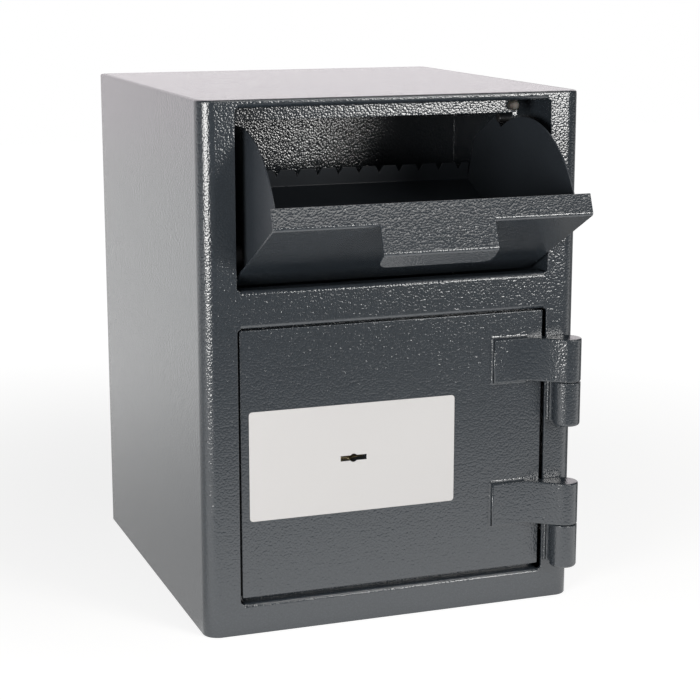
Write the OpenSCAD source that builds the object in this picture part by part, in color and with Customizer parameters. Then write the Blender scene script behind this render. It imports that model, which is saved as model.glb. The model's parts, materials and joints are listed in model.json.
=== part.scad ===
// Deposit safe: a welded steel body with a tilting deposit hopper above a hinged, key-locked door.
// The modules measure from the body's front, left, bottom corner. place() puts the origin at the
// middle of the base, with X to the right, Y to the back and Z up. The hopper is shown open.

/* [Body] */
// Width of the body
body_w = 345; // [325:1:425]
// Height of the body
body_h = 460; // [410:1:600]
// Depth of the body
body_d = 365; // [305:1:460]
// Thickness of the folded sheet of the front and sides
sheet_t = 3; // [2:0.1:3.5]
// Thickness of the top, base and back plates
plate_t = 4; // [3:0.1:6]
// Outside radius of the two folded front edges
fold_r = 14; // [10:0.5:16]
// Gap of the seams round the welded plates
seam = 0.3; // [0.1:0.05:0.5]
// Radius of the anchor holes in the base
anchor_r = 6.5; // [4:0.5:9]
// Spacing of the anchor holes across the body
anchor_dx = 220; // [120:1:260]
// Spacing of the anchor holes from front to back
anchor_dy = 200; // [120:1:220]

/* [Front openings] */
// Width of the front left of both openings
stile_left = 30.8; // [26:0.1:40]
// Width of the front right of both openings
stile_right = 29.4; // [27.2:0.1:35]
// Height of the front below the door opening
toe_h = 28; // [24:0.5:40]
// Height of the rail between the two openings
rail_h = 32.7; // [28:0.1:40]
// Height of the hopper opening
mouth_h = 151; // [142:0.5:165]
// Outside radius of the folded edges of the openings
edge_r = 4; // [3.5:0.1:5]
// Radius of the openings' corners
corner_r = 3; // [2:0.5:6]
// Depth of the sill under the hopper
sill_d = 15; // [10:0.5:15]
// Depth of the folded edge over the hopper
head_d = 12; // [8:0.5:15]

/* [Hopper] */
// Distance of the hopper's pivots behind the front face
pivot_y = 26; // [25:0.5:28]
// Height of the pivots above the sill
pivot_rise = 25; // [25:0.5:27]
// Angle through which the hopper opens
open_angle = 62.3; // [45:0.1:64]
// Thickness of the hopper's front sheet
panel_t = 2; // [1.5:0.1:2.5]
// Thickness of the cheeks and the hopper floor
cheek_t = 1.5; // [1:0.1:2]
// Gap between the hopper's ends and the sides of its opening
end_gap = 3.6; // [2:0.1:6]
// Set-back of the closed hopper behind the front face
panel_recess = 5; // [4.5:0.1:6]
// Gap over the closed hopper
panel_gap = 4.9; // [4.5:0.1:7]
// How far the panel reaches below the pivots
panel_drop = 15; // [12:0.5:15]
// Width of the flange along the hopper's top
flange_w = 18.7; // [14:0.1:18.8]
// Upward tilt of the flange with the hopper closed
flange_tilt = 5.7; // [0:0.1:6]
// Outside radius of the hopper's folds
hopper_fold_r = 3; // [2.6:0.1:4]
// Distance of the cheeks from the panel's ends
cheek_inset = 7; // [5:0.1:10]
// Width of the handle tab
tab_w = 100; // [60:1:160]
// Length of the handle tab
tab_len = 24; // [15:0.5:30]
// Length of the handle's lip
lip_len = 19.5; // [8:0.5:22]
// Forward lean of the lip with the hopper closed
lip_lean = 12; // [0:1:30]
// Corner radius of the lip
lip_r = 8; // [3:0.5:10]
// Slope of the closed hopper's floor
floor_slope = 39.3; // [35:0.1:42]
// Length of the floor along its slope
floor_len = 145.6; // [120:0.1:150]
// Height of the solid part of the toothed edge
comb_base = 9.5; // [5:0.5:12]
// Depth of the cuts between the teeth
tooth_h = 6.5; // [4:0.5:10]
// Width of the cuts between the teeth
tooth_cut = 7.5; // [4:0.5:12]
// Pitch of the teeth
tooth_pitch = 20; // [14:0.5:30]
// Angle by which the toothed edge is folded up from the floor
comb_fold = 75; // [60:1:80]
// Reach of the closed cheeks behind their round part
cheek_tail = 14.3; // [10:0.1:20]
// Start of the cheeks' shoulder inside the round edge
shoulder_in = 4; // [2:0.5:6]
// Drop of the cheeks' shoulder
shoulder_drop = 9; // [5:0.5:14]
// Height of the cheeks' rear edge
cheek_rear_h = 50; // [30:1:56]
// Depth of the cheeks' cut corner
cheek_corner_d = 11; // [6:0.5:14]
// Height of the cheeks' cut corner
cheek_corner_h = 13.5; // [8:0.5:18]
// Gap between the cheeks and the stop bar
cheek_gap = 4; // [3:0.5:8]

/* [Hopper pivots] */
// Radius of the pivot screws
pivot_r = 4; // [3:0.1:5]
// Radial clearance of everything that turns or slides in a bore
run_fit = 0.05; // [0.03:0.01:0.1]
// Radius of the bush in the cheek
bush_r = 6.5; // [6:0.1:8]
// Radius of the bush's spacer flange
spacer_r = 9; // [8.5:0.1:12]
// Radius of the screw heads
screw_head_r = 8; // [6:0.1:10]
// Thickness of the screw heads
screw_head_t = 2; // [1.5:0.1:3]
// Thickness of the pivot nuts
pivot_nut_t = 6; // [4:0.1:7]
// Radius of the pivot nuts over their corners
pivot_nut_r = 7.5; // [6.5:0.1:9]
// Clearance beside the hopper's spacers
spacer_gap = 0.4; // [0.2:0.1:0.8]

/* [Hopper chamber] */
// Distance of the chamber's back panel behind the front face
chamber_d = 214; // [205:1:240]
// Thickness of the chamber's sheets
guide_t = 1.5; // [1:0.1:2]
// How far the guide plates stand outside the opening
guide_out = 0.5; // [0:0.1:1.5]
// Drop of the guide plates below the sill
guide_drop = 22; // [15:0.5:24]
// Length of the guide plates' level lower edge
guide_level = 80; // [60:1:90]
// Drop of the back panel below the sill
back_drop = 52; // [40:1:70]
// Distance of the baffle's front edge behind the front face
baffle_y = 120; // [100:1:140]
// Drop of the baffle's front edge below the sill
baffle_drop = 132; // [110:1:150]
// Drop of the baffle's front lip
baffle_lip = 8; // [4:0.5:12]
// Distance of the stop bar behind the front face
bar_y = 31; // [29:0.5:34]
// Thickness of the stop bar
bar_t = 2; // [1.5:0.1:3]
// How far the stop bar hangs below the opening's top edge
bar_drop = 13; // [10:0.5:16]
// Depth of the stop bar's level leg
bar_leg = 20; // [12:0.5:24]
// Distance of the stop bar's right end from the opening's right edge
bar_inset = 17.8; // [16:0.1:30]
// Width of the foot at the stop bar's right end
bar_foot_w = 5; // [3:0.5:8]
// Drop of that foot
bar_foot_drop = 3.5; // [2:0.1:4]
// Distance of the buffer's centre from the stop bar's end
buffer_in = 5.3; // [4.5:0.1:8]
// Radius of the buffer
buffer_r = 4.5; // [3.5:0.1:5]
// Bevel of the buffer's face
buffer_bevel = 1.2; // [0.5:0.1:2]
// Radius of the buffer's stem
buffer_stem_r = 2; // [1.5:0.1:3]
// Distance of the buffer's centre below the opening's top edge
buffer_drop = 6.4; // [5:0.1:7]
// Gap between the closed hopper's flange and the buffer
buffer_gap = 0.4; // [0.3:0.1:1]
// Radius of the opening stop pins
stop_pin_r = 4; // [3:0.1:5]
// Gap between the open hopper and its stop pins
stop_gap = 0.3; // [0.3:0.05:0.6]
// Distance of the stop pins along the cheeks' shoulder
stop_along = 12.2; // [8:0.1:14]
// How far the stop pins reach past the cheeks
stop_past = 1; // [0.5:0.1:3]

/* [Door] */
// Thickness of the door plate
door_t = 10; // [6:0.5:12]
// Set-back of the door behind the front face
door_recess = 2.5; // [1.5:0.1:3]
// Gap between the door and its opening on the left
door_gap_left = 2.2; // [2.2:0.1:4]
// Gap between the door and its opening on the right
door_gap_right = 2.8; // [2.5:0.1:6]
// Gap above the door
door_gap_top = 1.5; // [1.5:0.1:4]
// Gap below the door
door_gap_bottom = 4.5; // [1.5:0.1:6]
// Corner radius of the door
door_corner_r = 1.5; // [1:0.5:6]
// Thickness of the strips behind the door
rebate_t = 3; // [2:0.1:4]
// Overlap of the strips behind the door's edge
rebate_lap = 4; // [3:0.5:4]
// Width of the strips
rebate_w = 15; // [12:0.5:17]
// Gap between the closed door and the strips
rebate_gap = 0.3; // [0.3:0.05:1]
// Distance of the strips' ends inside the door's right edge
rebate_end = 1; // [0.5:0.5:5]
// Width of the plate round the keyhole
label_w = 188.5; // [120:0.5:200]
// Height of the plate round the keyhole
label_h = 96.5; // [60:0.5:120]
// Thickness of the plate round the keyhole
label_t = 0.8; // [0.5:0.1:1.2]
// Corner radius of the plate round the keyhole
label_r = 3; // [1:0.5:6]
// Distance of the keyhole from the body's left side
key_x = 134.5; // [128:0.5:140]
// Distance of the keyhole below the door's middle
key_drop = 1.15; // [-3:0.05:5]
// Width of the keyhole
key_slot_w = 24; // [18:0.5:26]
// Height of the keyhole's slot
key_slot_h = 4.7; // [4.5:0.1:6]
// Radius of the keyhole's middle
key_eye_r = 3.7; // [3.2:0.1:5]
// Step from the keyhole to the narrower keyway in the barrel
keyway_step = 0.2; // [0.1:0.1:1]

/* [Hinges] */
// Distance of the hinge axis from the body's right side
hinge_in = 14; // [13:0.5:15]
// Radius of the knuckles
knuckle_r = 12; // [10:0.1:12]
// Gap between the turning knuckles and the front face
knuckle_gap = 0.5; // [0.4:0.1:1.5]
// Radius of the rim under the welded knuckles
knuckle_rim = 2.5; // [1:0.5:4]
// Height of the knuckles that are welded to the body
knuckle_h = 39.8; // [30:0.2:44]
// Height of the hinge straps
strap_h = 39; // [30:0.5:44]
// Thickness of the straps on the door
strap_t = 5; // [3:0.1:6]
// Length of the straps' flat part
strap_flat = 33; // [25:0.5:40]
// Distance of the straps' bend from the hinge axis
strap_bend = 33; // [30:0.5:36]
// Width of the welds round the straps' flat part
strap_weld_r = 2.5; // [1:0.1:4]
// Distance of the upper hinge's joint below the door opening's top
upper_joint_drop = 64.3; // [55:0.1:80]
// Height of the lower hinge's joint above the door opening's bottom
lower_joint_rise = 45.4; // [43:0.2:60]
// Gap in the joint between the knuckles
hinge_gap = 0.4; // [0.3:0.1:0.8]
// Radius of the hinge pins
hinge_pin_r = 5; // [4:0.1:6]
// Thickness of metal over the hinge pins
hinge_cap = 3.5; // [2:0.5:6]
// Gap over the hinge pins
pin_top_gap = 1; // [0.5:0.1:2]
// Distance of the hinge pins' lower ends inside the knuckles
pin_inset = 2; // [0.5:0.5:6]
// Chamfer of the hinge pins and the locking bolts
chamfer = 1.5; // [0.5:0.1:2]
// Radius of the weld at the foot of the welded knuckles
weld_r = 5; // [2:0.5:6]
// Distance of the welded knuckles' foot inside their round side
foot_in = 2; // [1:0.5:4]
// Distance of that foot from the body's right side
foot_side = 10; // [7:0.5:12]

/* [Boltwork] */
// Radius of the locking bolts
bolt_r = 6; // [5:0.1:7]
// Travel of the locking bolts
throw = 14; // [10:0.5:14]
// Spacing of the locking bolts
bolt_pitch = 69; // [50:1:74]
// Distance of the bolts' axes behind the door plate
bolt_y = 14.5; // [13:0.5:16]
// Length of the locking bolts
bolt_len = 25; // [22:0.5:30]
// Radius of the bolts' riveted necks
neck_r = 4; // [3:0.1:4.5]
// Distance of the retracted bolts from the opening's left edge
bolt_back = 12.2; // [12:0.1:14]
// Distance of the bolt guide behind the bolts' ends
guide_back = 3; // [2:0.5:4]
// Thickness of the bolt guide
bolt_guide_t = 4; // [3:0.1:4]
// Height of the bolt guide behind the door plate
bolt_guide_h = 25; // [24:0.5:28]
// Width of the bolt guide's foot
bolt_guide_foot = 12; // [8:0.5:14]
// Thickness of the bolt guide's foot
bolt_foot_t = 3; // [2:0.1:3.5]
// Height left over the outer bolts in the guide, bar and keeper
bolt_end = 16; // [12:0.5:20]
// Thickness of the bolt bar
bar_plate_t = 6; // [4:0.1:8]
// Width of the bolt bar
bar_plate_w = 16; // [13:0.5:20]
// Thickness of the keeper plate
keeper_t = 3; // [2:0.1:4]
// Depth of the keeper plate
keeper_d = 24; // [22:0.5:28]
// Clearance round the bolts in the keeper's slots
keeper_fit = 0.6; // [0.4:0.1:1]
// Thickness of the dog bar
dog_t = 6; // [4:0.5:8]
// Width of the dog bar
dog_w = 27; // [20:0.5:30]
// How far the dog bar reaches past the door's edge
dog_reach = 11; // [6:0.5:12]
// Height of the dog bar
dog_h = 180; // [120:1:190]

/* [Lock] */
// Width of the lock case
case_w = 102; // [96:1:110]
// Height of the lock case
case_h = 74; // [70:1:84]
// Depth of the lock case
case_d = 23.5; // [23:0.5:26]
// Wall of the lock case
case_t = 2; // [1.5:0.1:2.5]
// Radius of the key barrel
barrel_r = 14; // [14:0.5:16]
// Thickness of the barrel's closed end
barrel_end = 3; // [2:0.1:4]
// Gap between the barrel and the door plate
barrel_gap = 0.4; // [0.3:0.1:1]
// Distance of the lock's bolt behind the door plate
lock_bolt_in = 13.5; // [12:0.1:15]
// Thickness of the lock's bolt
lock_bolt_t = 4; // [3:0.1:5]
// Half the height of the lock's bolt
lock_bolt_half = 13; // [12.5:0.1:16]
// Gap between the barrel and the lock's bolt
lock_gap = 0.6; // [0.4:0.1:1]
// Clearance round the lock's bolt in the case
window_gap = 0.3; // [0.2:0.1:0.6]
// Thickness of the lock bolt's end plate
lock_foot_t = 2; // [1.5:0.1:3]
// Width of the metal beside the lock bolt's slot
lock_web = 5; // [3:0.5:8]
// Clearance of the drive pin at the slot's ends
slot_room = 0.5; // [0.3:0.1:1]
// Clearance of the drive pin at the slot's sides
slot_side = 0.3; // [0.2:0.1:0.6]
// How far the drive pin stands out behind the lock's bolt
drive_out = 0.5; // [0:0.1:1]
// Radius of the barrel's drive pin
drive_r = 2.2; // [1.5:0.1:3]
// Radius of the screw posts in the lock case
post_r = 4.5; // [3.5:0.1:6]
// Distance of the posts from the case's outside
post_inset = 7; // [6.5:0.1:9]
// Radius of the lock screws
lock_screw_r = 2; // [1.5:0.1:2.5]
// Radius of the lock screws' heads
lock_head_r = 3.6; // [3:0.1:4.5]
// Height of the lock screws' heads
lock_head_t = 2.4; // [1.5:0.1:3]
// Length of the lock screws in their posts
lock_screw_len = 7; // [5:0.5:10]
// Room below the lock screws' ends
lock_screw_room = 1; // [0.5:0.5:3]

/* [Hidden] */
$fn = 96;
eps = 0.01;

// Openings; the folded edge over the hopper meets the top plate
inner_top = body_h - plate_t;
open_x0 = stile_left;
open_x1 = body_w - stile_right;
fold_x0 = open_x0 + corner_r;
fold_x1 = open_x1 - corner_r;
mouth_top = inner_top - sheet_t;
sill_z = mouth_top - mouth_h;
door_open_top = sill_z - rail_h;
door_open_z = toe_h;

// Hopper, with the closed hopper's sizes measured from its pivots
pivot_z = sill_z + pivot_rise;
hopper_x0 = open_x0 + end_gap;
hopper_x1 = open_x1 - end_gap;
hopper_mid = (hopper_x0 + hopper_x1) / 2;
panel_y = panel_recess - pivot_y;
panel_top = mouth_top - panel_gap - pivot_z;
cheek_x0 = hopper_x0 + cheek_inset;
cheek_x1 = hopper_x1 - cheek_inset;
cheek_r = mouth_top - bar_drop - cheek_gap - pivot_z;
floor_y = panel_y + panel_t;
rear_y = cheek_r + cheek_tail;
floor_rear = [floor_y + floor_len * cos(floor_slope), -floor_len * sin(floor_slope)];
comb_angle = comb_fold - floor_slope;
comb_root = floor_rear + cheek_t * [sin(floor_slope), cos(floor_slope)] / 2;
shoulder_start = [cheek_r - shoulder_in, 0];
shoulder = [rear_y, -shoulder_drop];
rear_low = shoulder - [0, cheek_rear_h];
rear_corner = rear_low - [cheek_corner_d, cheek_corner_h];

// The opening stop pin stands against the cheeks' shoulder with the hopper open
shoulder_dir = (shoulder - shoulder_start) / norm(shoulder - shoulder_start);
shoulder_out = [-shoulder_dir[1], shoulder_dir[0]];
pin_closed = shoulder_start + shoulder_dir * stop_along + shoulder_out * (stop_pin_r + stop_gap);
stop_pin = turn(pin_closed, open_angle);

// Chamber
guide_x0 = open_x0 - guide_out;
guide_x1 = open_x1 + guide_out;
panel_foot = sill_z - back_drop;
baffle_z = sill_z - baffle_drop;
flange_edge_y = pivot_y + panel_y + flange_w * cos(flange_tilt);
buffer_front = flange_edge_y + panel_t * sin(flange_tilt) + buffer_gap;
bar_x1 = open_x1 - bar_inset;
buffer_x = bar_x1 - buffer_in;

// Door
door_x0 = open_x0 + door_gap_left;
door_x1 = open_x1 - door_gap_right;
door_z0 = door_open_z + door_gap_bottom;
door_z1 = door_open_top - door_gap_top;
door_back = door_recess + door_t;
rebate_y = door_back + rebate_gap;
key_z = (door_z0 + door_z1) / 2 - key_drop;

// Hinges
hinge_x = body_w - hinge_in;
hinge_out = knuckle_r + knuckle_gap;
upper_joint_z = door_open_top - upper_joint_drop;
lower_joint_z = door_open_z + lower_joint_rise;
strap_x1 = hinge_x - strap_bend;
strap_x0 = strap_x1 - strap_flat;

// Boltwork
bolts_z = [for (i = [-1:1]) key_z + i * bolt_pitch];
bolt_axis_y = door_back + bolt_y;
bolt_tip = open_x0 + bolt_back;
bolt_bar_x = bolt_tip + bolt_len;
bolt_guide_x = bolt_tip + guide_back;
bolt_z0 = bolts_z[0] - bolt_end;
bolt_z1 = bolts_z[2] + bolt_end;
keeper_x1 = door_x0 + rebate_lap;
case_x0 = key_x - case_w / 2;
case_z0 = key_z - case_h / 2;
crank = throw / 2;
// How far the drive pin strays from a steady slide
sine_room = 0.22 * crank;
lock_bolt_y = door_back + lock_bolt_in;
barrel_back = lock_bolt_y - lock_gap;

// A point turned about the origin
function turn(p, a) = [p[0] * cos(a) - p[1] * sin(a), p[0] * sin(a) + p[1] * cos(a)];

// A point at a distance and an angle from another
function along(p, dist, a) = p + dist * [cos(a), sin(a)];

// Outline of a folded sheet: its outside line, offset by t to the right of travel, with round folds
function side_of(a, b) = [b[1] - a[1], a[0] - b[0]] / norm(b - a);
function mitre(p, i, t) = let (n1 = side_of(p[i - 1], p[i]), n2 = side_of(p[i], p[i + 1]))
    p[i] + t * (n1 + n2) / (1 + n1 * n2);
function inner_line(p, t) = [for (i = [0:len(p) - 1])
    i == 0 ? p[0] + t * side_of(p[0], p[1])
    : i == len(p) - 1 ? p[i] + t * side_of(p[i - 1], p[i]) : mitre(p, i, t)];
function rounded(p, r) = [for (i = [0:len(p) - 1])
    each (i == 0 || i == len(p) - 1 || r[i] <= 0 ? [p[i]] : fold_arc(p[i - 1], p[i], p[i + 1], r[i]))];
function fold_arc(a, b, c, r) = let (
        u = (a - b) / norm(a - b), v = (c - b) / norm(c - b),
        half = acos(u * v) / 2, run = r / tan(half),
        mid = b + (u + v) / norm(u + v) * r / sin(half),
        from = b + u * run - mid, to = b + v * run - mid,
        sweep = acos(max(-1, min(1, from * to / r / r))),
        way = sign(from[0] * to[1] - from[1] * to[0]))
    [for (k = [0:8]) mid + turn(from, way * sweep * k / 8)];
// Outer folds turn with r and inner ones with r less the sheet
function sheet_outline(p, t, r) = let (
        bends = [for (i = [0:len(p) - 1])
            i == 0 || i == len(p) - 1 ? 0
            : let (n1 = side_of(p[i - 1], p[i]), n2 = side_of(p[i], p[i + 1]))
                sign(n1[0] * n2[1] - n1[1] * n2[0])],
        out = [for (b = bends) b == 0 ? 0 : b > 0 ? max(r - t, 0.3) : r],
        ins = [for (b = bends) b == 0 ? 0 : b > 0 ? r : max(r - t, 0.3)],
        back = rounded(inner_line(p, t), ins))
    concat(rounded(p, out), [for (i = [len(back) - 1:-1:0]) back[i]]);

// Puts the origin at the middle of the base
module place() translate([-body_w / 2, -body_d / 2, 0]) children();

// A profile in Y and Z, drawn out along X
module across(x0, x1) translate([x0, 0, 0]) rotate([90, 0, 90]) linear_extrude(x1 - x0) children();

// A profile in X and Z, drawn out along Y
module deep(y0, y1) translate([0, y1, 0]) rotate([90, 0, 0]) linear_extrude(y1 - y0) children();

// A profile in X and Y, drawn out along Z
module tall(z0, z1) translate([0, 0, z0]) linear_extrude(z1 - z0) children();

// A box between two corners
module block(a, b) translate(a) cube(b - a);

// A round bar along X, Y or Z
module rod_x(x0, x1, y, z, r) translate([x0, y, z]) rotate([0, 90, 0]) cylinder(h = x1 - x0, r = r);
module rod_y(y0, y1, x, z, r) translate([x, y1, z]) rotate([90, 0, 0]) cylinder(h = y1 - y0, r = r);
module rod_z(z0, z1, x, y, r) translate([x, y, z0]) cylinder(h = z1 - z0, r = r);

// A rectangle between two corners with round corners
module rounded_rect(x0, x1, y0, y1, r) {
    translate([x0 + r, y0]) square([x1 - x0 - 2 * r, y1 - y0]);
    translate([x0, y0 + r]) square([x1 - x0, y1 - y0 - 2 * r]);
    for (x = [x0 + r, x1 - r], y = [y0 + r, y1 - r]) translate([x, y]) circle(r);
}

// The plan of the body: square at the back, round at the two front edges
module body_plan(inset, r, y1) {
    translate([inset + r, inset]) square([body_w - 2 * inset - 2 * r, y1 - inset]);
    translate([inset, inset + r]) square([body_w - 2 * inset, y1 - inset - r]);
    for (x = [inset + r, body_w - inset - r]) translate([x, inset + r]) circle(r);
}

// What a folded edge loses at its outer corner; up is 1 for an edge that faces up and -1 for down
module fold_loss(z, up) {
    across(fold_x0, fold_x1) difference() {
        translate([-1, up > 0 ? z - edge_r : z - 1]) square([edge_r + 1, edge_r + 1]);
        translate([edge_r, z - up * edge_r]) circle(edge_r);
        if (up > 0) translate([edge_r, z - edge_r - 1]) square([edge_r, edge_r + 3]);
        else translate([edge_r, z - 2]) square([edge_r, edge_r + 3]);
    }
}

module opening(z0, z1) deep(-1, sheet_t + 1) rounded_rect(open_x0, open_x1, z0, z1, corner_r);

module inward_edge(z0, depth) {
    block([fold_x0, sheet_t - eps, z0], [fold_x1, depth, z0 + sheet_t]);
}

module body_wrapper() color([0.27, 0.29, 0.32]) place() {
    door_edge_d = rebate_y;
    difference() {
        union() {
            tall(0, body_h) difference() {
                body_plan(0, fold_r, body_d);
                body_plan(sheet_t, fold_r - sheet_t, body_d + 1);
            }
            inward_edge(sill_z - sheet_t, sill_d);
            inward_edge(mouth_top, head_d);
            inward_edge(door_open_z - sheet_t, door_edge_d);
            inward_edge(door_open_top, door_edge_d);
        }
        opening(door_open_z, door_open_top);
        opening(sill_z, mouth_top);
        fold_loss(sill_z, 1);
        fold_loss(mouth_top, -1);
        fold_loss(door_open_z, 1);
        fold_loss(door_open_top, -1);
    }
}

// A plate let in between the front sheet and the back plate
module let_in_plate(z0, z1) {
    inset = sheet_t + seam;
    tall(z0, z1) body_plan(inset, fold_r - inset, body_d - plate_t - seam);
}

module top_plate() color([0.62, 0.60, 0.61]) place() let_in_plate(inner_top, body_h);

module base_plate() color([0.25, 0.27, 0.30]) place() difference() {
    let_in_plate(0, plate_t);
    for (dx = [-1, 1], dy = [-1, 1])
        rod_z(-1, plate_t + 1, body_w / 2 + dx * anchor_dx / 2, body_d / 2 + dy * anchor_dy / 2, anchor_r);
}

module back_plate() color([0.25, 0.27, 0.30]) place()
    block([sheet_t + seam, body_d - plate_t, 0], [body_w - sheet_t - seam, body_d, body_h]);

// Side wall of the hopper chamber, which also carries the pivot, the stop pin and the baffle
module guide_plate(x0) {
    across(x0, x0 + guide_t) difference() {
        polygon([[sheet_t, sill_z - guide_drop], [guide_level, sill_z - guide_drop],
            [baffle_y, baffle_z - baffle_lip], [chamber_d, panel_foot - baffle_lip],
            [chamber_d, inner_top], [sheet_t, inner_top]]);
        translate([pivot_y, pivot_z]) circle(pivot_r + run_fit);
    }
}

module left_guide_plate() color([0.30, 0.32, 0.35]) place() guide_plate(guide_x0 - guide_t);
module right_guide_plate() color([0.30, 0.32, 0.35]) place() guide_plate(guide_x1);

module chamber_back_panel() color([0.32, 0.34, 0.36]) place()
    block([guide_x0 - guide_t, chamber_d, panel_foot],
        [guide_x1 + guide_t, chamber_d + guide_t, inner_top]);

module anti_fishing_baffle() color([0.28, 0.30, 0.33]) place() across(guide_x0, guide_x1)
    polygon(sheet_outline([[chamber_d, panel_foot], [baffle_y, baffle_z],
        [baffle_y, baffle_z - baffle_lip]], guide_t, guide_t + 1));

module stop_bar() color([0.33, 0.35, 0.37]) place() difference() {
    union() {
        across(guide_x0, bar_x1) polygon(sheet_outline([[bar_y, mouth_top - bar_drop],
            [bar_y, inner_top], [bar_y + bar_leg, inner_top]], bar_t, bar_t + 1));
        block([bar_x1 - bar_foot_w, bar_y, mouth_top - bar_drop - bar_foot_drop],
            [bar_x1, bar_y + bar_t, mouth_top - bar_drop + 1]);
    }
    rod_y(bar_y - 1, bar_y + bar_t + 1, buffer_x, mouth_top - buffer_drop, buffer_stem_r);
}

module closing_buffer() color([0.42, 0.38, 0.35]) place() {
    len = bar_y - buffer_front;
    translate([buffer_x, bar_y, mouth_top - buffer_drop]) rotate([90, 0, 0]) rotate_extrude()
        polygon([[0, -bar_t], [buffer_stem_r, -bar_t], [buffer_stem_r, 0], [buffer_r, 0],
            [buffer_r, len - buffer_bevel], [buffer_r - buffer_bevel, len], [0, len]]);
}

module opening_stop_pins() color([0.55, 0.56, 0.58]) place()
    for (x = [[guide_x0, cheek_x0 + cheek_t + stop_past], [cheek_x1 - cheek_t - stop_past, guide_x1]])
        rod_x(x[0], x[1], pivot_y + stop_pin[0], pivot_z + stop_pin[1], stop_pin_r);

// Calls its children for the left pivot and, mirrored, for the right one
module both_pivots() {
    children();
    translate([open_x0 + open_x1, 0, 0]) mirror([1, 0, 0]) children();
}

module pivot_screws() color([0.62, 0.63, 0.65]) place() both_pivots() {
    head_x = cheek_x0 + cheek_t + spacer_gap;
    rod_x(guide_x0 - guide_t - pivot_nut_t, head_x + eps, pivot_y, pivot_z, pivot_r);
    rod_x(head_x, head_x + screw_head_t, pivot_y, pivot_z, screw_head_r);
}

module pivot_nuts() color([0.62, 0.63, 0.65]) place() both_pivots()
    translate([guide_x0 - guide_t - pivot_nut_t, pivot_y, pivot_z]) rotate([0, 90, 0])
        difference() {
            cylinder(h = pivot_nut_t, r = pivot_nut_r, $fn = 6);
            translate([0, 0, -1]) cylinder(h = pivot_nut_t + 2, r = pivot_r + run_fit);
        }

module pivot_bush() difference() {
    union() {
        rod_x(guide_x0 + spacer_gap, cheek_x0, pivot_y, pivot_z, spacer_r);
        rod_x(cheek_x0 - 1, cheek_x0 + cheek_t, pivot_y, pivot_z, bush_r);
    }
    rod_x(guide_x0, cheek_x0 + cheek_t + 1, pivot_y, pivot_z, pivot_r + run_fit);
}

module left_pivot_bush() color([0.13, 0.13, 0.14]) place() pivot_bush();
module right_pivot_bush() color([0.13, 0.13, 0.14]) place()
    translate([open_x0 + open_x1, 0, 0]) mirror([1, 0, 0]) pivot_bush();

// Strips that the closed door rests against: above, below and on the lock side
module door_rebate_frame() color([0.26, 0.28, 0.31]) place() {
    y1 = rebate_y + rebate_t;
    z0 = door_z0 + rebate_lap;
    z1 = door_z1 - rebate_lap;
    x1 = door_x1 - rebate_end;
    deep(rebate_y, y1) {
        translate([keeper_x1 - rebate_w, z0 - rebate_w]) square([x1 - keeper_x1 + rebate_w, rebate_w]);
        translate([keeper_x1 - rebate_w, z1]) square([x1 - keeper_x1 + rebate_w, rebate_w]);
        translate([keeper_x1 - rebate_w, z0 - 1]) square([rebate_w, z1 - z0 + 2]);
    }
}

module bolt_keeper() color([0.45, 0.46, 0.48]) place() difference() {
    block([keeper_x1 - keeper_t, rebate_y + rebate_t, bolt_z0],
        [keeper_x1, rebate_y + rebate_t + keeper_d, bolt_z1]);
    slot = bolt_r + keeper_fit;
    for (z = bolts_z) block([keeper_x1 - keeper_t - 1, bolt_axis_y - slot, z - slot],
        [keeper_x1 + 1, bolt_axis_y + slot, z + slot]);
}

// Hollow weld in the corner between a face along X and a piece that stands on it left of [0, 0]
module weld_profile(r) difference() {
    translate([-1, 0]) square([r + 1, r]);
    translate([r, r]) circle(r);
}

// Knuckle welded to the body, with its foot and the weld beside it
module frame_knuckle(joint_z) {
    z0 = joint_z - knuckle_h;
    foot_x = hinge_x - knuckle_r + foot_in;
    difference() {
        union() {
            translate([hinge_x, -hinge_out, z0]) rotate_extrude() polygon(rounded([[0, 0],
                [knuckle_r, 0], [knuckle_r, knuckle_h], [0, knuckle_h]], [0, knuckle_rim, 0, 0]));
            tall(z0 + knuckle_rim, joint_z) {
                translate([foot_x, -hinge_out]) square([body_w - foot_side - foot_x, hinge_out]);
                translate([foot_x, 0]) rotate(180) weld_profile(weld_r);
            }
        }
        rod_z(z0 - 1, joint_z + 1, hinge_x, -hinge_out, hinge_pin_r + run_fit);
    }
}

module upper_frame_knuckle() color([0.30, 0.32, 0.35]) place() frame_knuckle(upper_joint_z);
module lower_frame_knuckle() color([0.30, 0.32, 0.35]) place() frame_knuckle(lower_joint_z);

module hinge_pin(joint_z) {
    down = knuckle_h - pin_inset;
    up = strap_h - hinge_cap - pin_top_gap;
    translate([hinge_x, -hinge_out, joint_z]) rotate_extrude() polygon([[0, -down],
        [hinge_pin_r, -down], [hinge_pin_r, up - chamfer], [hinge_pin_r - chamfer, up], [0, up]]);
}

module upper_hinge_pin() color([0.66, 0.67, 0.69]) place() hinge_pin(upper_joint_z);
module lower_hinge_pin() color([0.66, 0.67, 0.69]) place() hinge_pin(lower_joint_z);

// Strap in plan: flat on the door, cranked out, and round the hinge axis
module strap_plan() {
    axis = [hinge_x, -hinge_out];
    face = door_recess - strap_t;
    bend = [strap_x1, face];
    to_axis = axis - bend;
    reach = norm(to_axis);
    lead = atan2(to_axis[1], to_axis[0]) - asin(knuckle_r / reach);
    touch = along(bend, sqrt(reach * reach - knuckle_r * knuckle_r), lead);
    inner = knuckle_r - hinge_out;
    polygon([[strap_x0, door_recess], [strap_x0, face], bend, touch, axis, [hinge_x, inner],
        [door_x1, inner], [door_x1, door_recess]]);
    translate(axis) circle(knuckle_r);
}

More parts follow.
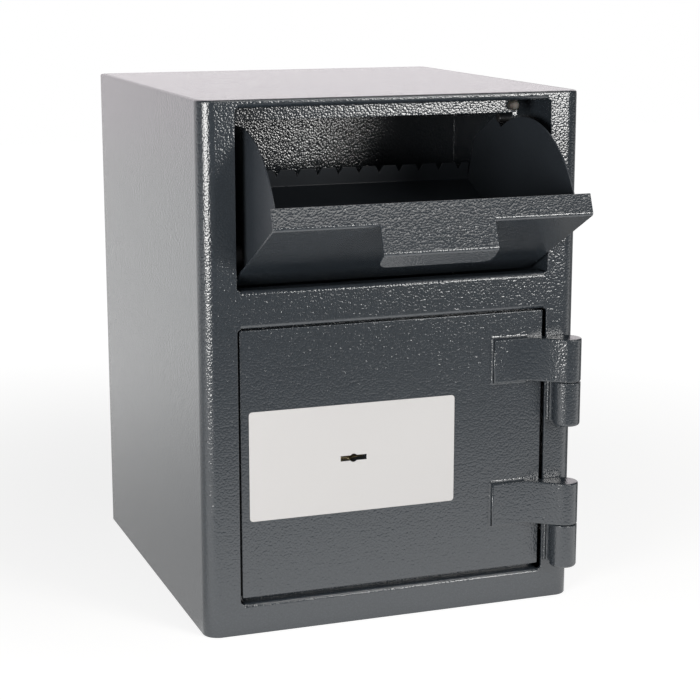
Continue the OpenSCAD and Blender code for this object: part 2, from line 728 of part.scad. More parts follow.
// Welds above, below and left of a strap's flat part
module strap_weld(z0, z1) translate([0, door_recess, 0]) {
    across(strap_x0, strap_x1) {
        translate([0, z1]) rotate(90) weld_profile(strap_weld_r);
        translate([0, z0]) rotate(90) mirror([1, 0]) weld_profile(strap_weld_r);
    }
    tall(z0, z1) translate([strap_x0, 0]) rotate(180) weld_profile(strap_weld_r);
    for (z = [z0, z1]) translate([strap_x0, 0, z]) rotate([90, 0, 0]) rotate_extrude()
        intersection() {
            weld_profile(strap_weld_r);
            square(strap_weld_r);
        }
}

module hinge_strap(joint_z) {
    z0 = joint_z + hinge_gap;
    difference() {
        union() {
            tall(z0, z0 + strap_h) strap_plan();
            strap_weld(z0, z0 + strap_h);
        }
        rod_z(z0 - 1, z0 + strap_h - hinge_cap, hinge_x, -hinge_out, hinge_pin_r + run_fit);
    }
}

module upper_hinge_strap() color([0.30, 0.32, 0.35]) place() hinge_strap(upper_joint_z);
module lower_hinge_strap() color([0.30, 0.32, 0.35]) place() hinge_strap(lower_joint_z);

// The hopper's pieces are drawn closed, measured from the pivots, and then tilted open
module hopper() place() translate([0, pivot_y, pivot_z]) rotate([open_angle, 0, 0]) children();

// Front panel with its top flange, and the handle tab in the flange's plane with its lip
module hopper_front() color([0.31, 0.33, 0.36]) hopper() {
    top = [panel_y, panel_top];
    tab_end = along(top, tab_len, 180 + flange_tilt);
    lip_end = along(tab_end, lip_len, 270 - lip_lean);
    across(hopper_x0, hopper_x1) polygon(sheet_outline([[panel_y, -panel_drop], top,
        along(top, flange_w, flange_tilt)], panel_t, hopper_fold_r));
    difference() {
        across(hopper_mid - tab_w / 2, hopper_mid + tab_w / 2) polygon(sheet_outline([lip_end,
            tab_end, along(top, flange_w, flange_tilt)], panel_t, hopper_fold_r));
        for (side = [-1, 1]) translate([hopper_mid + side * tab_w / 2, lip_end[0], lip_end[1]])
            rotate([-lip_lean, 0, 0]) deep(-4 * panel_t, 4 * panel_t) difference() {
                translate([-lip_r, -lip_r]) square(2 * lip_r);
                translate([-side * lip_r, lip_r]) circle(lip_r);
                translate([side > 0 ? -2 * lip_r : lip_r, 0]) square([lip_r, 2 * lip_r]);
                translate([side > 0 ? -2 * lip_r : 0, lip_r]) square([2 * lip_r, lip_r]);
            }
    }
}

// Teeth of the upturned edge, as V cuts at a steady pitch from the middle outwards
module comb_cuts(width) {
    count = floor((width / 2 - tooth_pitch / 4) / tooth_pitch);
    for (i = [-count:count]) translate([i * tooth_pitch, 0])
        polygon([[-tooth_cut / 2, 0.5], [tooth_cut / 2, 0.5], [0, -tooth_h]]);
}

module hopper_floor() color([0.27, 0.29, 0.33]) hopper() {
    x0 = cheek_x0 + cheek_t;
    x1 = cheek_x1 - cheek_t;
    comb_h = comb_base + tooth_h;
    top_end = along(comb_root, comb_h, comb_angle);
    difference() {
        across(x0, x1) polygon(sheet_outline([[floor_y, 0], comb_root, top_end], cheek_t,
            cheek_t + 1));
        block([x0 - 1, floor_y - 2 * cheek_t, -2 * cheek_t], [x1 + 1, floor_y, 1]);
        translate([(x0 + x1) / 2, top_end[0], top_end[1]]) rotate([comb_angle - 90, 0, 0])
            deep(-3 * cheek_t, 3 * cheek_t) comb_cuts(x1 - x0);
    }
}

// Cheek: round about the pivots in front, square behind, cut off along the panel and the floor
module cheek(x0) {
    x1 = x0 + cheek_t;
    low_front = [floor_y, -panel_drop];
    low_rear = floor_rear - [0, cheek_t];
    difference() {
        union() {
            across(x0, x1) circle(cheek_r);
            across(x0, x1) polygon([[0, 0], shoulder_start, shoulder, rear_low, rear_corner,
                low_rear, low_front]);
        }
        across(x0 - 1, x1 + 1) translate([floor_y - 2 * cheek_r, -2 * cheek_r])
            square([2 * cheek_r, 4 * cheek_r]);
        across(x0 - 1, x1 + 1) polygon([low_front - [1, 0], low_front, low_rear,
            [2 * cheek_r, low_rear[1]], [2 * cheek_r, -3 * cheek_r],
            [low_front[0] - 1, -3 * cheek_r]]);
        across(x0 - 1, x1 + 1) circle(bush_r + run_fit);
    }
}

module left_cheek() color([0.33, 0.35, 0.38]) hopper() cheek(cheek_x0);
module right_cheek() color([0.33, 0.35, 0.38]) hopper() cheek(cheek_x1 - cheek_t);

module keyhole_plan(step) translate([key_x, key_z]) {
    square([key_slot_w - 2 * step, key_slot_h - 2 * step], center = true);
    circle(key_eye_r - step);
}

module door_plate() color([0.28, 0.30, 0.33]) place() deep(door_recess, door_back) difference() {
    rounded_rect(door_x0, door_x1, door_z0, door_z1, door_corner_r);
    keyhole_plan(0);
}

module label_plate() color([0.87, 0.86, 0.86]) place()
    deep(door_recess - label_t, door_recess) difference() {
        rounded_rect(key_x - label_w / 2, key_x + label_w / 2, key_z - label_h / 2,
            key_z + label_h / 2, label_r);
        keyhole_plan(0);
    }

module dog_bar() color([0.45, 0.46, 0.48]) place() {
    mid_z = (door_z0 + door_z1) / 2;
    block([door_x1 + dog_reach - dog_w, door_back, mid_z - dog_h / 2],
        [door_x1 + dog_reach, door_back + dog_t, mid_z + dog_h / 2]);
}

module bolt_guide() color([0.45, 0.46, 0.48]) place() difference() {
    union() {
        block([bolt_guide_x, door_back, bolt_z0],
            [bolt_guide_x + bolt_guide_t, door_back + bolt_guide_h, bolt_z1]);
        block([bolt_guide_x, door_back, bolt_z0],
            [bolt_guide_x + bolt_guide_t + bolt_guide_foot, door_back + bolt_foot_t, bolt_z1]);
    }
    for (z = bolts_z)
        rod_x(bolt_guide_x - 1, bolt_guide_x + bolt_guide_t + 1, bolt_axis_y, z, bolt_r + run_fit);
}

module bolt_bar() color([0.50, 0.51, 0.53]) place() difference() {
    block([bolt_bar_x, bolt_axis_y - bar_plate_w / 2, bolt_z0],
        [bolt_bar_x + bar_plate_t, bolt_axis_y + bar_plate_w / 2, bolt_z1]);
    for (z = bolts_z)
        rod_x(bolt_bar_x - 1, bolt_bar_x + bar_plate_t + 1, bolt_axis_y, z, neck_r + run_fit);
}

module locking_bolts() color([0.70, 0.71, 0.73]) place() for (z = bolts_z)
    translate([bolt_tip, bolt_axis_y, z]) rotate([0, 90, 0]) rotate_extrude()
        polygon([[0, 0], [bolt_r - chamfer, 0], [bolt_r, chamfer], [bolt_r, bolt_len],
            [neck_r, bolt_len], [neck_r, bolt_len + bar_plate_t], [0, bolt_len + bar_plate_t]]);

// The lock's bolt: a flat bar with an end plate on the bolt bar and a slot for the drive pin
module lock_bolt() color([0.72, 0.60, 0.34]) place() {
    x0 = bolt_bar_x + bar_plate_t;
    slot_half = drive_r + sine_room + slot_side;
    slot_x = key_x + crank;
    slot_low = crank + drive_r + slot_room;
    difference() {
        union() {
            block([x0, lock_bolt_y, key_z - lock_bolt_half],
                [slot_x + slot_half + lock_web, lock_bolt_y + lock_bolt_t, key_z + lock_bolt_half]);
            block([x0, bolt_axis_y - bar_plate_w / 2, key_z - lock_bolt_half],
                [x0 + lock_foot_t, bolt_axis_y + bar_plate_w / 2, key_z + lock_bolt_half]);
        }
        block([slot_x - slot_half, lock_bolt_y - 1, key_z - slot_low],
            [slot_x + slot_half, lock_bolt_y + lock_bolt_t + 1, key_z + drive_r + slot_room]);
    }
}

// Calls its children at the four screw posts of the lock case
module at_posts() for (dx = [-1, 1], dz = [-1, 1])
    translate([key_x + dx * (case_w / 2 - post_inset), 0, key_z + dz * (case_h / 2 - post_inset)])
        children();

module lock_case() color([0.55, 0.56, 0.58]) place() {
    case_back = door_back + case_d - case_t;
    difference() {
        union() {
            difference() {
                block([case_x0, door_back, case_z0], [case_x0 + case_w, case_back, case_z0 + case_h]);
                block([case_x0 + case_t, door_back + case_t, case_z0 + case_t],
                    [case_x0 + case_w - case_t, case_back + 1, case_z0 + case_h - case_t]);
            }
            at_posts() rod_y(door_back + eps, case_back, 0, 0, post_r);
        }
        rod_y(door_back - 1, door_back + case_t + 1, key_x, key_z, barrel_r + run_fit);
        block([case_x0 - 1, lock_bolt_y - window_gap, key_z - lock_bolt_half - window_gap],
            [case_x0 + case_t + 1, lock_bolt_y + lock_bolt_t + window_gap,
                key_z + lock_bolt_half + window_gap]);
        at_posts() rod_y(case_back - lock_screw_len - lock_screw_room, case_back + 1, 0, 0,
            lock_screw_r + run_fit);
    }
}

module lock_cover() color([0.60, 0.61, 0.63]) place() {
    y0 = door_back + case_d - case_t;
    difference() {
        block([case_x0, y0, case_z0], [case_x0 + case_w, y0 + case_t, case_z0 + case_h]);
        at_posts() rod_y(y0 - 1, y0 + case_t + 1, 0, 0, lock_screw_r + run_fit);
    }
}

module lock_screws() color([0.68, 0.69, 0.71]) place() at_posts() {
    y0 = door_back + case_d;
    rod_y(y0 - case_t - lock_screw_len, y0 + eps, 0, 0, lock_screw_r);
    rod_y(y0, y0 + lock_head_t, 0, 0, lock_head_r);
}

// Barrel that the key turns: a blind keyway in front and a drive pin behind
module key_barrel() color([0.76, 0.63, 0.35]) place() {
    front = door_back + barrel_gap;
    difference() {
        rod_y(front, barrel_back, key_x, key_z, barrel_r);
        deep(front - 1, barrel_back - barrel_end) keyhole_plan(keyway_step);
    }
    rod_y(barrel_back - eps, lock_bolt_y + lock_bolt_t + drive_out, key_x + crank, key_z, drive_r);
}

body_wrapper();
top_plate();
base_plate();
back_plate();
left_guide_plate();
right_guide_plate();
chamber_back_panel();
anti_fishing_baffle();
stop_bar();
closing_buffer();
opening_stop_pins();
pivot_screws();
pivot_nuts();
door_rebate_frame();
bolt_keeper();
upper_frame_knuckle();
lower_frame_knuckle();
upper_hinge_pin();
lower_hinge_pin();
hopper_front();
hopper_floor();
left_cheek();
right_cheek();
left_pivot_bush();
right_pivot_bush();
door_plate();
label_plate();
upper_hinge_strap();
lower_hinge_strap();
dog_bar();
bolt_guide();
lock_case();
lock_cover();
lock_screws();
bolt_bar();
locking_bolts();
lock_bolt();
key_barrel();
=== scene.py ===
# Looks of a deposit safe, made around its packed model
import json
import math
from typing import NamedTuple

import bmesh
import bpy
from bpy.props import FloatProperty, FloatVectorProperty, IntProperty, PointerProperty
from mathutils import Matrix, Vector

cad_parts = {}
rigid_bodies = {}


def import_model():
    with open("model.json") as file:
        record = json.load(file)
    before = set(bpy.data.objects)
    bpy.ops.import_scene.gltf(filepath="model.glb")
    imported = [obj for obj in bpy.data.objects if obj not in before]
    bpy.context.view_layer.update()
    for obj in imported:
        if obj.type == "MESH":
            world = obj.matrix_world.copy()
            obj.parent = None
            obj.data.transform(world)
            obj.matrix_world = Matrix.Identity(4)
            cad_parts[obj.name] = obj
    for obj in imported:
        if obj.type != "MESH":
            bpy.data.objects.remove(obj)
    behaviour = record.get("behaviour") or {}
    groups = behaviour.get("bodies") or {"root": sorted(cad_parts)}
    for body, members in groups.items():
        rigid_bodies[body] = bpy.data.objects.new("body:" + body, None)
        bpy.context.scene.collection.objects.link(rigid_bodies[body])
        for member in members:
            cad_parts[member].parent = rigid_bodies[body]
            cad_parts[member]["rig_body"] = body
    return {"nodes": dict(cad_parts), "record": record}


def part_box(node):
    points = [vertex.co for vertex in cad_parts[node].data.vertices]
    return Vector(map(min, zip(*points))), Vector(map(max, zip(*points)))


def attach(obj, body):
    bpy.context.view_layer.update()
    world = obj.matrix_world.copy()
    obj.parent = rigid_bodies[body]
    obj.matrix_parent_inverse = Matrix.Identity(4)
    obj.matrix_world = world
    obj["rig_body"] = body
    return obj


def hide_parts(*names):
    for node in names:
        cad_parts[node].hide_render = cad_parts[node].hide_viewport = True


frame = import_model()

bl_info = {
    "name": "Deposit Safe",
    "version": (1, 0, 0),
    "blender": (4, 5, 0),
    "location": "View3D > Sidebar > Deposit Safe",
    "description": "Paints, welds and lights a deposit safe with a tilting hopper",
    "category": "Object",
}

# Bodies and material slots of the packed model's nodes
BODY_OF = {node: body
           for body, nodes in frame["record"]["behaviour"]["bodies"].items() for node in nodes}
SLOT_OF = {part["node"]: part["material_slot"] for part in frame["record"]["subparts"]}

MM = 0.001

# Corners this near are one corner, and faces this near in direction are one face
JOIN_WITHIN = 0.001 * MM
FLAT_WITHIN = math.radians(0.5)

# Only an outer edge that turns by more than the first and less than the second is rounded
BLUNTEST = math.radians(30)
SHARPEST = math.radians(150)

# Faces across one rounded corner
ROUNDING_STEPS = 3

# Rounding of the panels let into the body, as a share of a plate's
PANEL_SHARE = 0.7

# Rounding of the welded knuckles, as a share of the straps'
KNUCKLE_SHARE = 0.6

# How far in front of the body an edge of a hinge has to stand to be clear of its weld
STRAP_CLEAR = 0.1 * MM
KNUCKLE_CLEAR = 2.5 * MM

# A bead's distance from the knuckle's side and its sink in the body, as shares of its radius
BEAD_ASIDE = 1.5
BEAD_SINK = 0.25

# How far a bead stops short of the ends of its corner, and of a knuckle's top
BEAD_SHORT = 3 * MM
BEAD_TOP_SHORT = 1 * MM

# Steps along one ripple of a bead and sides round it
RIPPLE_STEPS = 7
BEAD_SIDES = 12

# How far a bead's line wanders, as a share of its radius, and how finely
WANDER_SHARE = 0.5
WANDER_SCALE = 260.0

# Heights and lifts of a screw head's rim and crown and of its shank, as shares of the head's height
RIM_TALL = 0.62
CROWN_TALL = 0.38
CROWN_LIFT = 0.61
SHANK_RISE = 0.02

# Radius of the crown's top, as a share of the head's, and the sides of a screw's round parts
CROWN_TOP = 0.80
ROUND_SIDES = 40

# The cross and the hexagon cut in a head: widths as shares of its radius, the rest of its height
CROSS_LONG = 1.15
CROSS_WIDE = 0.26
CROSS_TALL = 1.4
CROSS_LIFT = 1.05
SOCKET_WIDE = 0.48
SOCKET_LIFT = 0.35
SOCKET_SIDES = 6

# Where a hammer mark has sunk to 0, as a share of its width from its top, and how unevenly marks lie
MARK_REACH = 0.5
MARK_SCATTER = 0.9

WHITE = (1, 1, 1)
MID_GREY = (0.5, 0.5, 0.5)


# Settings

class EdgeSettings(bpy.types.PropertyGroup):
    """How far the outer corners are rounded"""
    sheet: FloatProperty(name="Sheet", description="Rounding of the thin sheets' edges",
                         default=0.45 * MM, min=0, unit="LENGTH")
    plate: FloatProperty(name="Plate", description="Rounding of the thick plates' edges",
                         default=0.8 * MM, min=0, unit="LENGTH")
    rim: FloatProperty(name="Rim", description="Rounding of the body's top edge",
                       default=2.0 * MM, min=0, unit="LENGTH")
    hinge: FloatProperty(name="Hinge", description="Rounding of the hinge straps and knuckles",
                         default=1.4 * MM, min=0, unit="LENGTH")
    label: FloatProperty(name="Label", description="Rounding of the label plate's edge",
                         default=0.2 * MM, min=0, unit="LENGTH")
    machined: FloatProperty(name="Machined", description="Rounding of the machined parts' edges",
                            default=0.35 * MM, min=0, unit="LENGTH")


class PaintSettings(bpy.types.PropertyGroup):
    """Colours and relief of the two paints"""
    hammered: FloatVectorProperty(name="Hammered paint", description="Colour of the hammered paint",
                                  subtype="COLOR", size=3, min=0, max=1, default=(0.033, 0.041, 0.050))
    satin: FloatVectorProperty(name="Satin paint", description="Colour of the hopper's smooth paint",
                               subtype="COLOR", size=3, min=0, max=1, default=(0.037, 0.044, 0.053))
    gloss: FloatProperty(name="Hammered roughness", description="Roughness of the hammered paint",
                         default=0.165, min=0, max=1, subtype="FACTOR")
    index: FloatProperty(name="Hammered index", description="Refractive index of the hammered paint",
                         default=1.8, min=1)
    sheen: FloatProperty(name="Satin roughness", description="Roughness of the smooth paint",
                         default=0.38, min=0, max=1, subtype="FACTOR")
    mark: FloatProperty(name="Hammer mark", description="Usual width of one hammer mark",
                        default=1.95 * MM, min=0.5 * MM, unit="LENGTH")
    relief: FloatProperty(name="Relief", description="Height of a hammer mark",
                          default=0.050 * MM, min=0, unit="LENGTH")


class MetalSettings(bpy.types.PropertyGroup):
    """Colours of the bare metals, the label plate, the buffer and the bushes"""
    steel: FloatVectorProperty(name="Steel", description="Colour of the machined steel",
                               subtype="COLOR", size=3, min=0, max=1, default=(0.45, 0.45, 0.46))
    brass: FloatVectorProperty(name="Brass", description="Colour of the brass lock parts",
                               subtype="COLOR", size=3, min=0, max=1, default=(0.42, 0.34, 0.20))
    label: FloatVectorProperty(name="Label plate", description="Colour of the bare label plate",
                               subtype="COLOR", size=3, min=0, max=1, default=(0.72, 0.71, 0.71))
    buffer: FloatVectorProperty(name="Buffer", description="Colour of the rubber buffer",
                                subtype="COLOR", size=3, min=0, max=1, default=(0.065, 0.056, 0.047))
    # Partly painted shade: the bushes are kept nearly black so that the gap where they show stays dark
    nylon: FloatVectorProperty(name="Nylon", description="Colour of the hopper's nylon bushes",
                               subtype="COLOR", size=3, min=0, max=1, default=(0.03, 0.03, 0.032))


class WeldSettings(bpy.types.PropertyGroup):
    """Size and ripple of the weld beads"""
    radius: FloatProperty(name="Bead radius", description="Half the width of a weld bead",
                          default=1.7 * MM, min=0.2 * MM, unit="LENGTH")
    pitch: FloatProperty(name="Ripple pitch", description="Length of one ripple along the bead",
                         default=2.2 * MM, min=0.5 * MM, unit="LENGTH")
    ripple: FloatProperty(name="Ripple", description="Share of the radius that a ripple takes",
                          default=0.22, min=0, max=0.6, subtype="FACTOR")
    seed: IntProperty(name="Seed", description="Seed of the bead's unevenness", default=7, min=0)


class ScrewSettings(bpy.types.PropertyGroup):
    """Sizes of the screws in the lock case and at the hopper's pivots"""
    lock_head: FloatProperty(name="Lock screw head", description="Radius of a lock screw's head",
                             default=3.6 * MM, min=MM, unit="LENGTH")
    lock_head_h: FloatProperty(name="Lock screw head height", description="Height of that head",
                               default=2.4 * MM, min=0.5 * MM, unit="LENGTH")
    lock_shank: FloatProperty(name="Lock screw shank", description="Radius of a lock screw's shank",
                              default=2.0 * MM, min=MM, unit="LENGTH")
    pivot_head: FloatProperty(name="Pivot screw head", description="Radius of a pivot screw's head",
                              default=8.0 * MM, min=MM, unit="LENGTH")
    pivot_head_h: FloatProperty(name="Pivot screw head height", description="Height of that head",
                                default=2.0 * MM, min=0.5 * MM, unit="LENGTH")
    pivot_shank: FloatProperty(name="Pivot screw shank", description="Radius of a pivot screw's shank",
                               default=4.0 * MM, min=MM, unit="LENGTH")


class StageSettings(bpy.types.PropertyGroup):
    """Camera, floor and studio light"""
    camera: FloatVectorProperty(name="Camera", description="Where the camera stands", subtype="XYZ",
                                unit="LENGTH", size=3, default=(-0.5607, -1.6151, 0.5763))
    yaw: FloatProperty(name="Yaw", description="How far the camera is turned to the right",
                       default=math.radians(19.90), subtype="ANGLE")
    pitch: FloatProperty(name="Pitch", description="How far the camera looks down",
                         default=math.radians(12.26), subtype="ANGLE")
    lens: FloatProperty(name="Lens", description="The camera's focal length in millimetres",
                        default=93.92, min=10)
    floor_back: FloatProperty(name="Floor behind", description="How far the floor runs behind the safe",
                              default=4.0, min=0, unit="LENGTH")
    floor_front: FloatProperty(name="Floor in front", description="How far the floor runs in front",
                               default=3.0, min=0, unit="LENGTH")
    floor_side: FloatProperty(name="Floor beside", description="How far the floor runs to each side",
                              default=4.0, min=0, unit="LENGTH")
    fill: FloatProperty(name="Fill", description="Even light from all round", default=0.04, min=0)
    behind: FloatProperty(name="Backdrop", description="Brightness of the backdrop in reflections",
                          default=1.28, min=0)
    before: FloatProperty(name="Room", description="Brightness of the room in front in reflections",
                          default=0.08, min=0)
    right: FloatProperty(name="Right side", description="Share of the backdrop's light on the right",
                         default=0.4, min=0, max=1, subtype="FACTOR")


# Node trees

def both_ways(operation):
    """A Math operation with the wire as its first value, and the same with the wire as its second"""
    def forward(self, other):
        return self.tree.node("ShaderNodeMath", {"operation": operation}, {0: self, 1: other})

    def reflected(self, other):
        return self.tree.node("ShaderNodeMath", {"operation": operation}, {0: other, 1: self})

    return forward, reflected


class Wire:
    """An output socket that can stand in sums, products, quotients and remainders"""

    def __init__(self, tree, socket):
        self.tree = tree
        self.socket = socket

    __add__, __radd__ = both_ways("ADD")
    __sub__, __rsub__ = both_ways("SUBTRACT")
    __mul__, __rmul__ = both_ways("MULTIPLY")
    __truediv__, __rtruediv__ = both_ways("DIVIDE")
    __mod__, __rmod__ = both_ways("FLOORED_MODULO")

    def clamped(self):
        """The same value, kept from 0 to 1"""
        return self.tree.node("ShaderNodeClamp", {}, {0: self})


class Tree:
    """Builds a node tree: every node comes from node()"""

    def __init__(self, tree):
        self.tree = tree
        tree.nodes.clear()

    def node(self, kind, settings=None, inputs=None, output=0):
        """Adds a node of a kind, sets its settings, feeds its sockets and gives one output"""
        made = self.tree.nodes.new(kind)
        for name, value in (settings or {}).items():
            setattr(made, name, value)
        for key, value in (inputs or {}).items():
            self._feed(self._socket(made.inputs, key), value)
        return Wire(self, self._socket(made.outputs, output)) if len(made.outputs) else None

    def _feed(self, socket, value):
        """Links a wire or each of a list of wires to a socket, or writes a value into it"""
        if isinstance(value, list):
            for wire in value:
                self._feed(socket, wire)
        elif isinstance(value, Wire):
            self.tree.links.new(value.socket, socket)
        elif socket.type == "RGBA":
            socket.default_value = (*value, 1)
        else:
            socket.default_value = value

    @staticmethod
    def _socket(sockets, key):
        """The socket at a place in the row, or the one with an identifier or a name"""
        if isinstance(key, int):
            return sockets[key]
        named = [s for s in sockets if s.identifier == key] or [s for s in sockets if s.name == key]
        return next((s for s in named if s.enabled), named[0])

    def ramp(self, value, start, end, first, last):
        """Runs smoothly from the first to the last number as a value goes from start to end"""
        return self.node("ShaderNodeMapRange", {"interpolation_type": "SMOOTHSTEP"}, {
            "Value": value, "From Min": start, "From Max": end, "To Min": first, "To Max": last})

    def mixed(self, factor, first, second):
        """The first colour at factor 0 and the second at 1"""
        return self.node("ShaderNodeMix", {"data_type": "RGBA"},
                         {"Factor_Float": factor, "A_Color": first, "B_Color": second}, "Result_Color")

    def along(self, vector, axis):
        """A vector's share along one axis"""
        return self.node("ShaderNodeSeparateXYZ", {}, {0: vector}, axis)

    def centred(self, colour):
        """A noise's colour, as a push to every side"""
        return self.node("ShaderNodeVectorMath", {"operation": "SUBTRACT"}, {0: colour, 1: MID_GREY})

    def resized(self, vector, factor):
        """A vector made longer or shorter by a factor"""
        return self.node("ShaderNodeVectorMath", {"operation": "SCALE"}, {0: vector, "Scale": factor})

    def rays(self):
        """Whether a ray comes from the camera, straight or through glass, and whether from a gloss"""
        camera, glossy, through = [
            self.node("ShaderNodeLightPath", output=kind)
            for kind in ("Is Camera Ray", "Is Glossy Ray", "Is Transmission Ray")]
        return (camera + through).clamped(), glossy


class Surface(Tree):
    """A material on the piece's own coordinates"""

    def __init__(self, name):
        self.material = bpy.data.materials.new(name)
        self.material.use_nodes = True
        super().__init__(self.material.node_tree)
        self.place = self.node("ShaderNodeTexCoord", output="Object")

    def noise(self, size, detail=2.0, roughness=0.5, place=None, output="Fac"):
        """Cloudy values from 0 to 1 whose clouds are about one size across"""
        return self.node("ShaderNodeTexNoise", {"noise_dimensions": "3D"},
                         {"Vector": place or self.place, "Scale": 1 / size, "Detail": detail,
                          "Roughness": roughness}, output)

    def shifted(self, size, amount):
        """The coordinates, pushed about by a noise of one size"""
        push = self.centred(self.noise(size, detail=1.0, output="Color"))
        return self.node("ShaderNodeVectorMath", {"operation": "ADD"},
                         {0: self.place, 1: self.resized(push, 2 * amount)})

    def stretched(self, factors):
        """The coordinates, scaled along each axis"""
        return self.node("ShaderNodeVectorMath", {"operation": "MULTIPLY"},
                         {0: self.place, 1: factors})

    def marks(self, size, place):
        """Rounded domes, packed side by side, from 1 on top down to about 0 between them"""
        reach = self.node("ShaderNodeTexVoronoi", {"feature": "F1"},
                          {"Vector": place, "Scale": 1 / size, "Randomness": MARK_SCATTER}, "Distance")
        return 1.0 - reach * reach * (1 / MARK_REACH ** 2)

    def spread(self, value, low, high):
        """A value that runs from 0 to 1, taken from low to high"""
        return value * (high - low) + low

    def shades(self, factor, colour, low, high):
        """One colour, from its low share at factor 0 to its high share at 1"""
        return self.mixed(factor, scaled(colour, low), scaled(colour, high))

    def relief(self, *layers):
        """The normal of a relief of layers, each a value from 0 to 1 and its height in metres"""
        heights = [value * height for value, height in layers]
        return self.node("ShaderNodeBump", {}, {"Height": sum(heights[1:], heights[0]),
                                                "Strength": 1.0, "Distance": 1.0}, "Normal")

    def finish(self, **sockets):
        """Closes the material with one glossy body"""
        inputs = {name.replace("_", " "): value for name, value in sockets.items()}
        body = self.node("ShaderNodeBsdfPrincipled", {}, inputs)
        self.node("ShaderNodeOutputMaterial", {}, {"Surface": body})
        return self.material


def scaled(colour, factor):
    """A colour made lighter or darker by a factor"""
    return tuple(channel * factor for channel in colour)


# Finishes, one for each material slot

def hammered_paint():
    """Glossy slate paint that dried in small hammer marks"""
    paint = bpy.context.scene.safe_paint
    surface = Surface("hammered_paint_finish")
    drift = surface.shifted(size=paint.mark * 2.2, amount=paint.mark * 0.35)
    domes = surface.marks(paint.mark, drift)
    swell = surface.noise(size=paint.mark * 3.2)
    grain = surface.noise(size=paint.mark * 0.30, detail=1.0)
    clouds = surface.noise(size=40 * MM, detail=3.0)
    # Painted shade: the paint is darker in the valleys between the hammer marks and lighter on their
    # tops
    colour = surface.shades(domes.clamped(), paint.hammered, low=0.86, high=1.10)
    colour = surface.mixed(clouds * 0.35, colour, scaled(paint.hammered, 1.22))
    return surface.finish(
        Base_Color=colour,
        Roughness=surface.spread(swell, low=paint.gloss - 0.04, high=paint.gloss + 0.04),
        Normal=surface.relief((domes, paint.relief), (swell, paint.relief * 1.6),
                              (grain, paint.relief * 0.08)),
        IOR=paint.index)


def satin_paint():
    """The smoother paint inside the hopper"""
    paint = bpy.context.scene.safe_paint
    surface = Surface("satin_paint_finish")
    ripple = surface.noise(size=2.6 * MM)
    grain = surface.noise(size=0.5 * MM, detail=1.0)
    clouds = surface.noise(size=55 * MM)
    return surface.finish(
        Base_Color=surface.shades(clouds, paint.satin, low=0.88, high=1.12),
        Roughness=surface.spread(ripple, low=paint.sheen - 0.05, high=paint.sheen + 0.07),
        Normal=surface.relief((ripple, 0.05 * MM), (grain, 0.006 * MM)),
        IOR=1.5)


def label_coat():
    """Pale satin coat of the bare label plate"""
    metal = bpy.context.scene.safe_metal
    surface = Surface("label_finish")
    clouds = surface.noise(size=60 * MM)
    grain = surface.noise(size=0.35 * MM)
    sag = surface.noise(size=9 * MM, detail=1.0)
    colour = surface.shades(clouds, metal.label, low=0.985, high=1.01)
    return surface.finish(
        Base_Color=surface.mixed(grain * 0.25, colour, scaled(metal.label, 0.96)),
        Roughness=surface.spread(grain, low=0.36, high=0.46),
        Normal=surface.relief((grain, 0.004 * MM), (sag, 0.02 * MM)),
        IOR=1.46)


def machined_steel():
    """Plain steel with the fine lines that a cutter leaves"""
    metal = bpy.context.scene.safe_metal
    surface = Surface("steel_finish")
    across = surface.stretched((0.12, 1.0, 3.2))
    lines = surface.noise(size=1.0 * MM, detail=3.0, roughness=0.65, place=across)
    clouds = surface.noise(size=14 * MM, detail=3.0)
    colour = surface.shades(lines, metal.steel, low=0.80, high=1.15)
    return surface.finish(
        Base_Color=surface.mixed(clouds * 0.4, colour, scaled(metal.steel, 0.72)),
        Metallic=1.0,
        Roughness=surface.spread(lines, low=0.26, high=0.44) + clouds * 0.06,
        Normal=surface.relief((lines, 0.010 * MM)))


def machined_brass():
    """Brass with turning marks and a little tarnish"""
    metal = bpy.context.scene.safe_metal
    surface = Surface("brass_finish")
    turned = surface.stretched((1.0, 3.0, 1.0))
    lines = surface.noise(size=0.8 * MM, detail=3.0, roughness=0.6, place=turned)
    tarnish = surface.noise(size=7 * MM, detail=4.0)
    colour = surface.shades(lines, metal.brass, low=0.82, high=1.12)
    return surface.finish(
        Base_Color=surface.mixed(tarnish * 0.5, colour, scaled(metal.brass, 0.62)),
        Metallic=1.0,
        Roughness=surface.spread(tarnish, low=0.24, high=0.46),
        Normal=surface.relief((lines, 0.008 * MM)))


def buffer_rubber():
    """Cloudy grey-brown rubber, with painted light that makes the middle of its end lighter"""
    metal = bpy.context.scene.safe_metal
    surface = Surface("buffer_finish")
    clouds = surface.noise(size=3 * MM, detail=3.0)
    grain = surface.noise(size=0.4 * MM)
    low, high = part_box("closing_buffer")
    centre = ((low.x + high.x) / 2, 0.0, (low.z + high.z) / 2)
    from_centre = surface.node("ShaderNodeVectorMath", {"operation": "DISTANCE"},
                               {0: surface.stretched((1.0, 0.0, 1.0)), 1: centre}, "Value")
    # Painted light: the buffer's end is made lighter in its middle
    painted_light_middle = surface.ramp(from_centre, start=0.8 * MM, end=2.8 * MM, first=1.0, last=0.0)
    colour = surface.shades(clouds, metal.buffer, low=0.75, high=1.25)
    return surface.finish(
        Base_Color=surface.mixed(painted_light_middle, colour, scaled(metal.buffer, 2.2)),
        Roughness=surface.spread(grain, low=0.42, high=0.62),
        Normal=surface.relief((grain, 0.02 * MM)),
        Subsurface_Weight=0.25,
        Subsurface_Scale=2 * MM,
        IOR=1.5)


